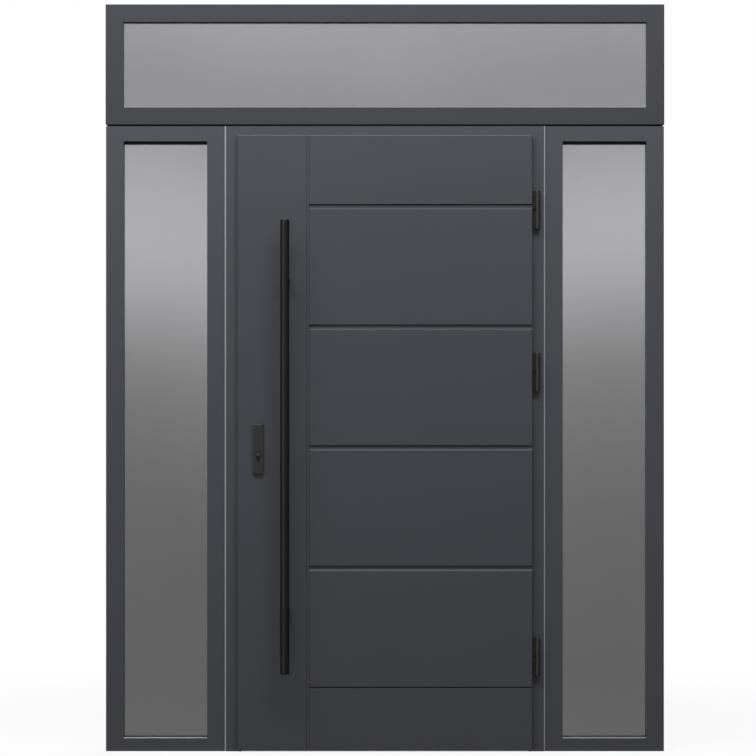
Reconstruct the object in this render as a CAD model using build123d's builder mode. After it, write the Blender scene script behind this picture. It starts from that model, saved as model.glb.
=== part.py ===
"""Exterior door set: a door frame with an outward-opening leaf, two glazed sidelights and a transom.

The frame of the part: +X runs to the right as seen from outside, +Y runs into the house and +Z is up.
The origin is at the middle of the underside, so the sill stands on Z = 0. All sizes are millimetres.
"""

import os

from build123d import *

# Door frame
door_frame_width = 1059.0
door_frame_height = 2080.0
frame_depth = 80.0
frame_front = -40.0
frame_edge_radius = 3.0
jamb_face = 53.0
head_face = 41.0
stop_width = 16.0
stop_gap = 6.0

# Threshold
threshold_height = 12.0
threshold_upstand = 24.0
threshold_nose = 12.0
threshold_setback = 2.0
threshold_tail = 6.0
tread_rib_pitch = 8.0
tread_rib_count = 5
tread_groove_width = 3.0
tread_groove_depth = 1.5

# Leaf
leaf_side_margin = 40.0
leaf_head_margin = 31.0
leaf_floor_gap = 6.0
leaf_overlap = 20.0
leaf_sill_overlap = 12.0
outer_panel_thickness = 18.0
core_thickness = 42.0
inner_panel_thickness = 8.0
panel_edge_radius = 3.0
seal_gap = 5.0

# Grooves in the leaf's outer panel
groove_width = 18.5
groove_depth = 5.0
groove_slope = 5.0
slot_width = 3.2
slot_depth = 8.0
slot_draft = 0.5
groove_pitch = 400.0
lowest_groove_height = 610.5
groove_count = 4
upright_x = -256.0
score_spacing = 8.7
score_width = 1.4
score_depth = 1.4
plinth_groove_height = 215.0
plinth_groove_width = 5.0
plinth_groove_depth = 5.0
inner_groove_depth = 3.0
inner_groove_floor = 6.0

# Seals of the door frame
seal_width = 5.0
seal_rest_gap = 1.0
outer_seal_inset = 1.5
inner_seal_inset = 2.0
sill_seal_drop = 0.5

# Sidelights
light_width = 396.0
light_setback = 4.0
light_stile_face = 59.0
light_top_face = 50.0
light_bottom_face = 46.5
sill_strip_height = 4.0
sill_strip_nose = 0.8
sill_strip_lap = 0.8
light_gasket_top = 10.0
light_gasket_bottom = 2.5

# Transom
transom_height = 399.0
transom_overhang = 1.0
transom_stile_face = 58.0
transom_top_face = 58.5
transom_bottom_face = 55.0
transom_gasket_top = 3.0
transom_gasket_bottom = 2.0

# Glazing, the same in the sidelights and the transom
lip_depth = 14.0
rebate_width = 16.0
gasket_thickness = 4.0
gasket_cover = 10.0
gasket_side = 0.5
pane_thickness = 6.0
pane_space = 12.0
pane_edge_gap = 4.0
bead_bevel = 7.0
bead_gap = 0.4

# Joints between the units
joint_strip_width = 3.2
joint_strip_setback = 2.0
transom_joint = 6.0
transom_joint_setback = 10.0
transom_joint_end_gap = 6.0

# Hinges
hinge_lower_height = 316.0
hinge_middle_drop = 787.0
hinge_upper_drop = 248.0
hinge_height = 130.0
hinge_radius = 9.0
hinge_leaf_gap = 8.5
hinge_frame_gap = 2.5
hinge_bearing_gap = 0.6
hinge_cap_radius = 3.0
hinge_wing_thickness = 5.0
hinge_wing_inset = 3.0
hinge_wing_clearance = 2.0
hinge_pin_radius = 5.0
hinge_pin_length = 48.0
hinge_running_fit = 0.06
hinge_pin_end_gap = 2.0
dowel_radius = 4.0
dowel_spacing = 28.0
dowel_leaf_depth = 32.0
dowel_frame_depth = 36.0
dowel_fit = 0.1

# Pull bar
bar_length = 1497.5
bar_radius = 15.0
bar_height = 1014.5
bar_backset = 159.0
bar_hand_gap = 45.0
bar_end_radius = 2.0
post_radius = 10.0
post_spacing = 1100.0
rose_radius = 17.0
rose_thickness = 4.0

# Lock
lock_backset = 48.8
lock_height = 990.6
spindle_rise = 72.0
plate_width = 34.0
plate_height = 165.0
plate_rise = 16.0
outer_plate_thickness = 9.0
inner_plate_thickness = 8.0
plate_edge_radius = 2.0
cylinder_radius = 8.5
cylinder_height = 33.0
cylinder_leg_width = 10.0
cylinder_proud = 1.5
cylinder_plate_gap = 0.4
cylinder_leaf_gap = 1.0
plug_radius = 6.5
plug_length = 26.0
plug_running_fit = 0.06
plug_end_gap = 0.5
keyway_width = 2.4
keyway_height = 8.6
keyway_depth = 18.0

# Inside lever
lever_radius = 9.5
lever_reach = 52.0
lever_length = 135.0
lever_bend = 20.0
lever_rose_radius = 13.0
lever_rose_thickness = 5.0

# Lock edge
faceplate_width = 24.0
faceplate_thickness = 3.0
faceplate_bottom_margin = 152.0
faceplate_top_margin = 154.0
bolt_width = 12.0
bolt_fit = 0.4
bolt_depth = 24.0
hook_bolt_length = 44.0
dead_bolt_length = 40.0
latch_bolt_length = 32.0
lower_hook_rise = 92.0
upper_hook_drop = 90.0
strike_margin = 14.0
strike_width = 30.0
strike_thickness = 3.0
strike_corner_radius = 4.0
strike_slot_play = 4.0
strike_pocket = 18.0

# Places that follow from the sizes above
frame_half = door_frame_width / 2
frame_back = frame_front + frame_depth
opening_half = frame_half - jamb_face
opening_top = door_frame_height - head_face
leaf_half = frame_half - leaf_side_margin
leaf_top = door_frame_height - leaf_head_margin
leaf_bottom = leaf_floor_gap
body_half = leaf_half - leaf_overlap
body_top = leaf_top - leaf_overlap
body_bottom = leaf_bottom + leaf_sill_overlap
core_front = frame_front - seal_gap
leaf_front = core_front - outer_panel_thickness
core_back = core_front + core_thickness
leaf_back = core_back + inner_panel_thickness
stop_front = leaf_back + stop_gap
stop_half = opening_half - stop_width
stop_top = opening_top - stop_width
light_inner = frame_half + joint_strip_width
light_outer = light_inner + light_width
light_front = frame_front + light_setback
transom_half = light_outer + transom_overhang
transom_bottom = door_frame_height + transom_joint
transom_top = transom_bottom + transom_height
hinge_x = leaf_half + hinge_leaf_gap + hinge_radius
hinge_y = frame_front - hinge_frame_gap - hinge_radius
bar_x = -leaf_half + bar_backset
bar_y = leaf_front - bar_hand_gap - bar_radius
lock_x = -body_half + lock_backset
faceplate_y = core_front + core_thickness / 2
faceplate_bottom = body_bottom + faceplate_bottom_margin
faceplate_top = body_top - faceplate_top_margin
hinge_heights = {
    "lower": hinge_lower_height,
    "middle": leaf_top - hinge_middle_drop,
    "upper": leaf_top - hinge_upper_drop,
}
bolts_on_edge = [
    (faceplate_bottom + lower_hook_rise, hook_bolt_length),
    (lock_height, dead_bolt_length),
    (lock_height + spindle_rise, latch_bolt_length),
    (faceplate_top - upper_hook_drop, hook_bolt_length),
]
groove_heights = [lowest_groove_height + groove_pitch * step for step in range(groove_count)]


def save(piece, name):
    """Label one finished piece and write it to its own file."""
    piece.label = name
    export_step(piece, f"parts/{name}.step")


def dowel_heights(middle):
    """The heights of the two dowels in one half of a hinge, around that half's middle."""
    return (middle - dowel_spacing / 2, middle + dowel_spacing / 2)


def build_jamb(side, name):
    """One upright of the door frame, a rebated profile whose step is the stop behind the leaf.

    The lock side (-1) has the recesses for the strike plates, the hinge side (1) the dowel holes.
    """
    with BuildPart() as jamb:
        with BuildSketch(Plane.XY):
            with BuildLine():
                Polyline(
                    (side * opening_half, frame_front),
                    (side * frame_half, frame_front),
                    (side * frame_half, frame_back),
                    (side * stop_half, frame_back),
                    (side * stop_half, stop_front),
                    (side * opening_half, stop_front),
                    close=True,
                )
            make_face()
        extrude(amount=door_frame_height)
        uprights = jamb.edges().filter_by(Axis.Z).group_by(Axis.Y)
        fillet(uprights[0] + uprights[-1], radius=frame_edge_radius)
        if side < 0:
            for height, length in bolts_on_edge:
                with BuildSketch(Plane.YZ.offset(-opening_half)):
                    with Locations((faceplate_y, height)):
                        RectangleRounded(
                            strike_width, length + 2 * strike_margin, strike_corner_radius
                        )
                extrude(amount=-strike_thickness, mode=Mode.SUBTRACT)
                with BuildSketch(Plane.YZ.offset(-opening_half)):
                    with Locations((faceplate_y, height)):
                        Rectangle(bolt_width + strike_slot_play, length + strike_slot_play)
                extrude(amount=-strike_pocket, mode=Mode.SUBTRACT)
        else:
            for middle in hinge_heights.values():
                with BuildSketch(Plane.XZ.offset(-frame_front)):
                    for height in dowel_heights(middle - hinge_height / 4):
                        with Locations((hinge_x, height)):
                            Circle(dowel_radius + dowel_fit)
                extrude(amount=-dowel_frame_depth - dowel_fit, mode=Mode.SUBTRACT)
    save(jamb.part, name)


def build_strike_plates():
    """The keeps let into the lock jamb, each with the slot that its bolt shoots into."""
    with BuildPart() as strikes:
        for height, length in bolts_on_edge:
            with BuildSketch(Plane.YZ.offset(-opening_half)):
                with Locations((faceplate_y, height)):
                    RectangleRounded(strike_width, length + 2 * strike_margin, strike_corner_radius)
                    Rectangle(
                        bolt_width + strike_slot_play,
                        length + strike_slot_play,
                        mode=Mode.SUBTRACT,
                    )
            extrude(amount=-strike_thickness)
    save(strikes.part, "strike_plates")


def build_head():
    """The door frame's head, coped between the two jambs with the same step for the stop."""
    with BuildPart() as head:
        with BuildSketch(Plane.YZ):
            with BuildLine():
                Polyline(
                    (frame_front, opening_top),
                    (stop_front, opening_top),
                    (stop_front, door_frame_height),
                    (frame_front, door_frame_height),
                    close=True,
                )
            make_face()
        extrude(amount=opening_half, both=True)
        with BuildSketch(Plane.YZ):
            with BuildLine():
                Polyline(
                    (stop_front, stop_top),
                    (frame_back, stop_top),
                    (frame_back, door_frame_height),
                    (stop_front, door_frame_height),
                    close=True,
                )
            make_face()
        extrude(amount=stop_half, both=True)
        room_edges = head.faces().sort_by(Axis.Y)[-1].edges().filter_by(Axis.X)
        fillet(room_edges.sort_by(Axis.Z)[0], radius=frame_edge_radius)
    save(head.part, "frame_head")


def build_threshold():
    """The metal threshold between the jambs: a low tread and an upstand that falls to the room."""
    front = frame_front + threshold_setback
    with BuildPart() as threshold:
        with BuildSketch(Plane.YZ):
            with BuildLine():
                Polyline(
                    (front, 0),
                    (stop_front, 0),
                    (stop_front, threshold_height),
                    (front, threshold_height),
                    close=True,
                )
            make_face()
        extrude(amount=opening_half, both=True)
        with BuildSketch(Plane.YZ):
            with BuildLine():
                Polyline(
                    (stop_front, 0),
                    (frame_back, 0),
                    (frame_back, threshold_tail),
                    (stop_front + threshold_nose, threshold_upstand),
                    (stop_front, threshold_upstand),
                    close=True,
                )
            make_face()
        extrude(amount=stop_half, both=True)
        with BuildSketch(Plane.YZ):
            with Locations(((front + stop_front) / 2, threshold_height)):
                with GridLocations(tread_rib_pitch, tread_rib_pitch, tread_rib_count, 1):
                    Rectangle(
                        tread_groove_width, tread_groove_depth, align=(Align.CENTER, Align.MAX)
                    )
        extrude(amount=opening_half, both=True, mode=Mode.SUBTRACT)
    save(threshold.part, "threshold")


def build_door_seals():
    """The rubber strips: one under the leaf's overlap, one all round on the stop and the upstand."""
    outer_half = opening_half + outer_seal_inset
    outer_top = opening_top + outer_seal_inset
    with BuildPart() as outer_seal:
        with BuildSketch(Plane.XZ.offset(-frame_front)):
            with BuildLine():
                Polyline(
                    (-outer_half - seal_width, 0),
                    (-outer_half - seal_width, outer_top + seal_width),
                    (outer_half + seal_width, outer_top + seal_width),
                    (outer_half + seal_width, 0),
                    (outer_half, 0),
                    (outer_half, outer_top),
                    (-outer_half, outer_top),
                    (-outer_half, 0),
                    close=True,
                )
            make_face()
        extrude(amount=seal_gap - seal_rest_gap)
    save(outer_seal.part, "outer_seal")

    inner_half = stop_half + inner_seal_inset
    inner_top = stop_top + inner_seal_inset
    inner_low = threshold_upstand - sill_seal_drop - seal_width
    with BuildPart() as inner_seal:
        with BuildSketch(Plane.XZ.offset(-stop_front)):
            with BuildLine():
                Polyline(
                    (-inner_half - seal_width, inner_low),
                    (-inner_half - seal_width, inner_top + seal_width),
                    (inner_half + seal_width, inner_top + seal_width),
                    (inner_half + seal_width, inner_low),
                    close=True,
                )
            make_face()
            with BuildLine():
                Polyline(
                    (-inner_half, inner_low + seal_width),
                    (-inner_half, inner_top),
                    (inner_half, inner_top),
                    (inner_half, inner_low + seal_width),
                    close=True,
                )
            make_face(mode=Mode.SUBTRACT)
        extrude(amount=stop_gap - seal_rest_gap)
    save(inner_seal.part, "inner_seal")


def build_sill_strip(name, start, length, front, top):
    """The pale metal strip under a sidelight's glass, sloped forwards so that water runs off."""
    back = front + sill_strip_height
    low = top - sill_strip_height
    with BuildPart() as strip:
        with BuildSketch(Plane.YZ.offset(start)):
            with BuildLine():
                Polyline(
                    (front, low),
                    (back, low),
                    (back, top),
                    (back - sill_strip_lap, top),
                    (front, low + sill_strip_nose),
                    close=True,
                )
            make_face()
        extrude(amount=length)
    save(strip.part, name)


def build_light(name, left, right, bottom, top, front, faces):
    """One fixed light: rebated stiles and rails, a double pane, its rubber gasket and inside beads.

    `faces` holds the widths seen from outside: stile, top, bottom, gasket_top, gasket_bottom and
    strip, the height of the sloped metal strip let into the lower rail, or 0 where there is none.
    """
    lip_back = front + lip_depth
    pane_front = lip_back + gasket_thickness
    unit_back = pane_front + 2 * pane_thickness + pane_space
    day_left, day_right = left + faces["stile"], right - faces["stile"]
    day_low, day_top = bottom + faces["bottom"], top - faces["top"]
    day_width, day_height = day_right - day_left, day_top - day_low
    day_middle = ((day_left + day_right) / 2, (day_low + day_top) / 2)
    rebate_left, rebate_right = day_left - rebate_width, day_right + rebate_width

    with BuildPart() as stiles:
        for outer, day, rebate in ((left, day_left, rebate_left), (right, day_right, rebate_right)):
            with BuildSketch(Plane.XY.offset(bottom)):
                with BuildLine():
                    Polyline(
                        (outer, front),
                        (day, front),
                        (day, lip_back),
                        (rebate, lip_back),
                        (rebate, frame_back),
                        (outer, frame_back),
                        close=True,
                    )
                make_face()
            extrude(amount=top - bottom)
        uprights = stiles.edges().filter_by(Axis.Z).group_by(Axis.Y)[0].sort_by(Axis.X)
        fillet([uprights[0], uprights[-1]], radius=frame_edge_radius)
    save(stiles.part, f"{name}_stiles")

    with BuildPart() as rails:
        with BuildSketch(Plane.YZ.offset(rebate_left)):
            with BuildLine():
                Polyline(
                    (front, top),
                    (front, day_top),
                    (lip_back, day_top),
                    (lip_back, day_top + rebate_width),
                    (frame_back, day_top + rebate_width),
                    (frame_back, top),
                    close=True,
                )
            make_face()
            with BuildLine():
                Polyline(
                    (front, bottom),
                    (front, day_low),
                    (lip_back, day_low),
                    (lip_back, day_low - rebate_width),
                    (frame_back, day_low - rebate_width),
                    (frame_back, bottom),
                    close=True,
                )
            make_face()
        extrude(amount=rebate_right - rebate_left)
        with BuildSketch(Plane.XY.offset(bottom)):
            for start in (rebate_left, day_right):
                with Locations((start, front)):
                    Rectangle(rebate_width, lip_depth, align=(Align.MIN, Align.MIN))
        extrude(amount=top - bottom, mode=Mode.SUBTRACT)
        if faces["strip"]:
            with BuildSketch(Plane.YZ.offset(day_left)):
                with Locations((front, day_low)):
                    Rectangle(faces["strip"], faces["strip"], align=(Align.MIN, Align.MAX))
            extrude(amount=day_width, mode=Mode.SUBTRACT)
    save(rails.part, f"{name}_rails")

    if faces["strip"]:
        build_sill_strip(f"{name}_sill_strip", day_left, day_width, front, day_low)

    with BuildPart() as gasket:
        with BuildSketch(Plane.XZ.offset(-lip_back)):
            with BuildLine():
                Polyline(
                    (day_left - gasket_cover, day_low - gasket_cover),
                    (day_right + gasket_cover, day_low - gasket_cover),
                    (day_right + gasket_cover, day_top + gasket_cover),
                    (day_left - gasket_cover, day_top + gasket_cover),
                    close=True,
                )
            make_face()
            with BuildLine():
                Polyline(
                    (day_left + gasket_side, day_low + faces["gasket_bottom"]),
                    (day_right - gasket_side, day_low + faces["gasket_bottom"]),
                    (day_right - gasket_side, day_top - faces["gasket_top"]),
                    (day_left + gasket_side, day_top - faces["gasket_top"]),
                    close=True,
                )
            make_face(mode=Mode.SUBTRACT)
        extrude(amount=-gasket_thickness)
    save(gasket.part, f"{name}_gasket")

    pane_lap = rebate_width - pane_edge_gap
    with BuildPart() as glass:
        for face in (pane_front, pane_front + pane_thickness + pane_space):
            with BuildSketch(Plane.XZ.offset(-face)):
                with Locations(day_middle):
                    Rectangle(day_width + 2 * pane_lap, day_height + 2 * pane_lap)
            extrude(amount=-pane_thickness)
    save(glass.part, f"{name}_glass")

    with BuildPart() as beads:
        with BuildSketch(Plane.XZ.offset(-frame_back)):
            with Locations(day_middle):
                Rectangle(day_width + 2 * rebate_width, day_height + 2 * rebate_width)
                Rectangle(day_width, day_height, mode=Mode.SUBTRACT)
        extrude(amount=frame_back - unit_back)
        room_edges = beads.faces().sort_by(Axis.Y)[-1].inner_wires()[0].edges()
        chamfer(room_edges, length=bead_bevel)
        with BuildSketch(Plane.XZ.offset(-frame_back)):
            for x, lean_left in ((day_left, 1), (day_right, -1)):
                for z, lean_low in ((day_low, 1), (day_top, -1)):
                    with Locations((x, z)):
                        Rectangle(4 * rebate_width, bead_gap, rotation=45 * lean_left * lean_low)
        extrude(amount=frame_back - unit_back, mode=Mode.SUBTRACT)
    save(beads.part, f"{name}_beads")


def build_joints_between_units():
    """The pale strips beside the door frame and the black seal under the transom."""
    strip_front = frame_front + joint_strip_setback
    for name, start in (("left_joint_strip", -light_inner), ("right_joint_strip", frame_half)):
        with BuildPart() as strip:
            with BuildSketch(Plane.XY):
                with Locations((start, strip_front)):
                    Rectangle(
                        joint_strip_width, frame_back - strip_front, align=(Align.MIN, Align.MIN)
                    )
            extrude(amount=door_frame_height)
        save(strip.part, name)

    with BuildPart() as seal:
        with BuildSketch(Plane.YZ):
            with BuildLine():
                Polyline(
                    (frame_front + transom_joint_setback, door_frame_height),
                    (frame_back, door_frame_height),
                    (frame_back, transom_bottom),
                    (frame_front + transom_joint_setback, transom_bottom),
                    close=True,
                )
            make_face()
        extrude(amount=light_outer - transom_joint_end_gap, both=True)
    save(seal.part, "transom_joint_seal")


def cylinder_outline(gap):
    """Draw the profile cylinder's outline: a round part with a straight leg below, grown by `gap`."""
    leg_end = cylinder_height - cylinder_radius
    with Locations((lock_x, lock_height)):
        Circle(cylinder_radius + gap)
    with Locations((lock_x, lock_height - (leg_end - cylinder_leg_width / 2) / 2)):
        Rectangle(cylinder_leg_width + 2 * gap, leg_end - cylinder_leg_width / 2)
    with Locations((lock_x, lock_height - leg_end + cylinder_leg_width / 2)):
        Circle(cylinder_leg_width / 2 + gap)


def faceplate_outline():
    """Draw the long faceplate of the multi-point lock, round at both ends, on the leaf's lock edge."""
    with Locations((faceplate_y, (faceplate_bottom + faceplate_top) / 2)):
        SlotOverall(faceplate_top - faceplate_bottom, faceplate_width, rotation=90)


def bolt_outlines(gap, mode=Mode.ADD):
    """Draw the section of each bolt on the lock edge, grown by `gap` all round."""
    for height, length in bolts_on_edge:
        with Locations((faceplate_y, height)):
            Rectangle(bolt_width + 2 * gap, length + 2 * gap, mode=mode)


def groove_sections(at_y, corners):
    """Draw a groove's section, given as depth and height from its middle, at each groove height."""
    for height in groove_heights:
        with Locations((at_y, height)):
            Polygon(*corners, align=None)


def score_sections(at_y, depth):
    """Draw the two fine V-shaped score lines that run up the leaf beside the grooves' ends."""
    for side in (-1, 1):
        with Locations((upright_x + side * score_spacing / 2, at_y)):
            Polygon((-score_width / 2, 0), (score_width / 2, 0), (0, depth), align=None)


def build_leaf_panels():
    """The leaf's core with its grooved outer panel, which laps over the frame, and its inner panel."""
    groove_top = groove_width / 2
    groove_start = upright_x + score_spacing / 2
    shadow_groove = (
        (0, -groove_top),
        (groove_depth, groove_slope - groove_top),
        (groove_depth, groove_top - slot_width),
        (slot_depth, groove_top - slot_width),
        (slot_depth, groove_top - slot_draft),
        (0, groove_top),
    )
    plain_groove = (
        (0, -groove_top),
        (0, groove_top),
        (-inner_groove_depth, inner_groove_floor / 2),
        (-inner_groove_depth, -inner_groove_floor / 2),
    )
    with BuildPart() as core:
        with BuildSketch(Plane.XZ.offset(-core_front)):
            with Locations((0, body_bottom)):
                Rectangle(2 * body_half, body_top - body_bottom, align=(Align.CENTER, Align.MIN))
            with BuildSketch(mode=Mode.SUBTRACT):
                cylinder_outline(cylinder_leaf_gap)
        extrude(amount=-core_thickness)
        with BuildSketch(Plane.YZ.offset(-body_half)):
            faceplate_outline()
        extrude(amount=faceplate_thickness, mode=Mode.SUBTRACT)
        with BuildSketch(Plane.YZ.offset(-body_half)):
            bolt_outlines(0)
        extrude(amount=bolt_depth, mode=Mode.SUBTRACT)
    save(core.part, "leaf_core")

    with BuildPart() as outer_panel:
        with BuildSketch(Plane.XZ.offset(-core_front)):
            with Locations((0, leaf_bottom)):
                Rectangle(2 * leaf_half, leaf_top - leaf_bottom, align=(Align.CENTER, Align.MIN))
        extrude(amount=outer_panel_thickness)
        fillet(outer_panel.faces().sort_by(Axis.Y)[0].edges(), radius=panel_edge_radius)
        with BuildSketch(Plane.XY.offset(leaf_bottom)):
            score_sections(leaf_front, score_depth)
        extrude(amount=leaf_top - leaf_bottom, mode=Mode.SUBTRACT)
        with BuildSketch(Plane.YZ.offset(groove_start)):
            groove_sections(leaf_front, shadow_groove)
            with BuildLine():
                Polyline(
                    (leaf_front, plinth_groove_height - plinth_groove_width / 2),
                    (leaf_front + plinth_groove_depth, plinth_groove_height),
                    (leaf_front, plinth_groove_height + plinth_groove_width / 2),
                    close=True,
                )
            make_face()
        extrude(amount=leaf_half - groove_start, mode=Mode.SUBTRACT)
        with BuildSketch(Plane.XZ.offset(-core_front)):
            cylinder_outline(cylinder_leaf_gap)
        extrude(amount=outer_panel_thickness, mode=Mode.SUBTRACT)
        with BuildSketch(Plane.YZ.offset(leaf_half)):
            for middle in hinge_heights.values():
                for height in dowel_heights(middle + hinge_height / 4):
                    with Locations((hinge_y, height)):
                        Circle(dowel_radius + dowel_fit)
        extrude(amount=-dowel_leaf_depth - dowel_fit, mode=Mode.SUBTRACT)
    save(outer_panel.part, "leaf_outer_panel")

    with BuildPart() as inner_panel:
        with BuildSketch(Plane.XZ.offset(-leaf_back)):
            with Locations((0, body_bottom)):
                Rectangle(2 * body_half, body_top - body_bottom, align=(Align.CENTER, Align.MIN))
            with BuildSketch(mode=Mode.SUBTRACT):
                cylinder_outline(cylinder_leaf_gap)
        extrude(amount=inner_panel_thickness)
        with BuildSketch(Plane.XY.offset(body_bottom)):
            score_sections(leaf_back, -score_depth)
        extrude(amount=body_top - body_bottom, mode=Mode.SUBTRACT)
        with BuildSketch(Plane.YZ.offset(groove_start)):
            groove_sections(leaf_back, plain_groove)
        extrude(amount=body_half - groove_start, mode=Mode.SUBTRACT)
    save(inner_panel.part, "leaf_inner_panel")


def build_hinge(name, middle):
    """One lift-off barrel hinge, drilled in with dowels: the frame half carries the pin it turns on."""
    half = hinge_height / 2
    knuckle = half - hinge_bearing_gap / 2
    wing_height = knuckle - 2 * hinge_wing_inset
    wing_reach = hinge_x - leaf_half
    with BuildPart() as frame_hinge:
        with BuildSketch(Plane.XY.offset(middle - half)):
            with Locations((hinge_x, hinge_y)):
                Circle(hinge_radius)
        extrude(amount=knuckle)
        foot = frame_hinge.edges().filter_by(GeomType.CIRCLE).group_by(Axis.Z)[0]
        fillet(foot, radius=hinge_cap_radius)
        with BuildSketch(Plane.XY.offset(middle - half + hinge_wing_inset)):
            with Locations((hinge_x, hinge_y)):
                Rectangle(
                    wing_reach - hinge_wing_clearance,
                    hinge_wing_thickness,
                    align=(Align.MAX, Align.CENTER),
                )
        extrude(amount=wing_height)
        with BuildSketch(Plane.XY.offset(middle - hinge_bearing_gap / 2)):
            with Locations((hinge_x, hinge_y)):
                Circle(hinge_pin_radius)
        extrude(amount=hinge_pin_length)
        with BuildSketch(Plane.XZ.offset(-hinge_y)):
            for height in dowel_heights(middle - half / 2):
                with Locations((hinge_x, height)):
                    Circle(dowel_radius)
        extrude(amount=hinge_y - frame_front - dowel_frame_depth)
    save(frame_hinge.part, f"{name}_hinge_frame_half")

    with BuildPart() as leaf_hinge:
        with BuildSketch(Plane.XY.offset(middle + hinge_bearing_gap / 2)):
            with Locations((hinge_x, hinge_y)):
                Circle(hinge_radius)
        extrude(amount=knuckle)
        cap = leaf_hinge.edges().filter_by(GeomType.CIRCLE).group_by(Axis.Z)[-1]
        fillet(cap, radius=hinge_cap_radius)
        with BuildSketch(Plane.XY.offset(middle + half - hinge_wing_inset - wing_height)):
            with Locations((hinge_x, hinge_y)):
                Rectangle(wing_reach, hinge_wing_thickness, align=(Align.MAX, Align.CENTER))
        extrude(amount=wing_height)
        with BuildSketch(Plane.YZ.offset(hinge_x)):
            for height in dowel_heights(middle + half / 2):
                with Locations((hinge_y, height)):
                    Circle(dowel_radius)
        extrude(amount=leaf_half - dowel_leaf_depth - hinge_x)
        with BuildSketch(Plane.XY.offset(middle + hinge_bearing_gap / 2)):
            with Locations((hinge_x, hinge_y)):
                Circle(hinge_pin_radius + hinge_running_fit)
        extrude(amount=hinge_pin_length + hinge_pin_end_gap, mode=Mode.SUBTRACT)
    save(leaf_hinge.part, f"{name}_hinge_leaf_half")


def build_pull_bar():
    """The long round pull bar and the two posts, each with a rose, that carry it off the leaf."""
    with BuildPart() as bar:
        with BuildSketch(Plane.XY.offset(bar_height - bar_length / 2)):
            with Locations((bar_x, bar_y)):
                Circle(bar_radius)
        extrude(amount=bar_length)
        fillet(bar.edges().filter_by(GeomType.CIRCLE), radius=bar_end_radius)
    save(bar.part, "pull_bar")

    with BuildPart() as posts:
        for height in (bar_height - post_spacing / 2, bar_height + post_spacing / 2):
            with BuildSketch(Plane.XZ.offset(-leaf_front)):
                with Locations((bar_x, height)):
                    Circle(post_radius)
            extrude(amount=leaf_front - bar_y)
            with BuildSketch(Plane.XZ.offset(-leaf_front)):
                with Locations((bar_x, height)):
                    Circle(rose_radius)
            extrude(amount=rose_thickness)
        with BuildSketch(Plane.XY.offset(bar_height - bar_length / 2)):
            with Locations((bar_x, bar_y)):
                Circle(bar_radius)
        extrude(amount=bar_length, mode=Mode.SUBTRACT)
    save(posts.part, "pull_bar_posts")


def build_lock():
    """The lock plates, the profile cylinder with its turning plug, the lever and the lock's edge."""
    plate_middle = lock_height + plate_rise
    plates = (
        ("outer_lock_plate", leaf_front, outer_plate_thickness, 1),
        ("inner_lock_plate", leaf_back, -inner_plate_thickness, -1),
    )
    for name, seat, amount, outward in plates:
        with BuildPart() as plate:
            with BuildSketch(Plane.XZ.offset(-seat)):
                with Locations((lock_x, plate_middle)):
                    Rectangle(plate_width, plate_height)
            extrude(amount=amount)
            face = plate.faces().sort_by(Axis.Y)[0 if outward > 0 else -1]
            fillet(face.edges(), radius=plate_edge_radius)
            with BuildSketch(Plane.XZ.offset(-seat)):
                cylinder_outline(cylinder_plate_gap)
            extrude(amount=amount, mode=Mode.SUBTRACT)
        save(plate.part, name)

    cylinder_front = leaf_front - outer_plate_thickness - cylinder_proud
    cylinder_back = leaf_back + inner_plate_thickness + cylinder_proud
    with BuildPart() as cylinder:
        with BuildSketch(Plane.XZ.offset(-cylinder_front)):
            cylinder_outline(0)
        extrude(amount=cylinder_front - cylinder_back)
        with BuildSketch(Plane.XZ.offset(-cylinder_front)):
            with Locations((lock_x, lock_height)):
                Circle(plug_radius + plug_running_fit)
        extrude(amount=-plug_length - plug_end_gap, mode=Mode.SUBTRACT)
    save(cylinder.part, "lock_cylinder")

    with BuildPart() as plug:
        with BuildSketch(Plane.XZ.offset(-cylinder_front)):
            with Locations((lock_x, lock_height)):
                Circle(plug_radius)
        extrude(amount=-plug_length)
        with BuildSketch(Plane.XZ.offset(-cylinder_front)):
            with Locations((lock_x, lock_height)):
                Rectangle(keyway_width, keyway_height)
        extrude(amount=-keyway_depth, mode=Mode.SUBTRACT)
    save(plug.part, "cylinder_plug")

    lever_height = lock_height + spindle_rise
    plate_face = leaf_back + inner_plate_thickness
    with BuildPart() as lever:
        with BuildLine():
            FilletPolyline(
                (lock_x, plate_face, lever_height),
                (lock_x, plate_face + lever_reach, lever_height),
                (lock_x + lever_length, plate_face + lever_reach, lever_height),
                radius=lever_bend,
            )
        with BuildSketch(Plane.XZ.offset(-plate_face)):
            with Locations((lock_x, lever_height)):
                Circle(lever_radius)
        sweep()
        with BuildSketch(Plane.XZ.offset(-plate_face)):
            with Locations((lock_x, lever_height)):
                Circle(lever_rose_radius)
        extrude(amount=-lever_rose_thickness)
    save(lever.part, "inner_lever")

    with BuildPart() as faceplate:
        with BuildSketch(Plane.YZ.offset(-body_half)):
            faceplate_outline()
            bolt_outlines(bolt_fit, Mode.SUBTRACT)
        extrude(amount=faceplate_thickness)
    save(faceplate.part, "lock_faceplate")

    with BuildPart() as bolts:
        with BuildSketch(Plane.YZ.offset(-body_half)):
            bolt_outlines(0)
        extrude(amount=bolt_depth)
    save(bolts.part, "lock_bolts")


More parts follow.
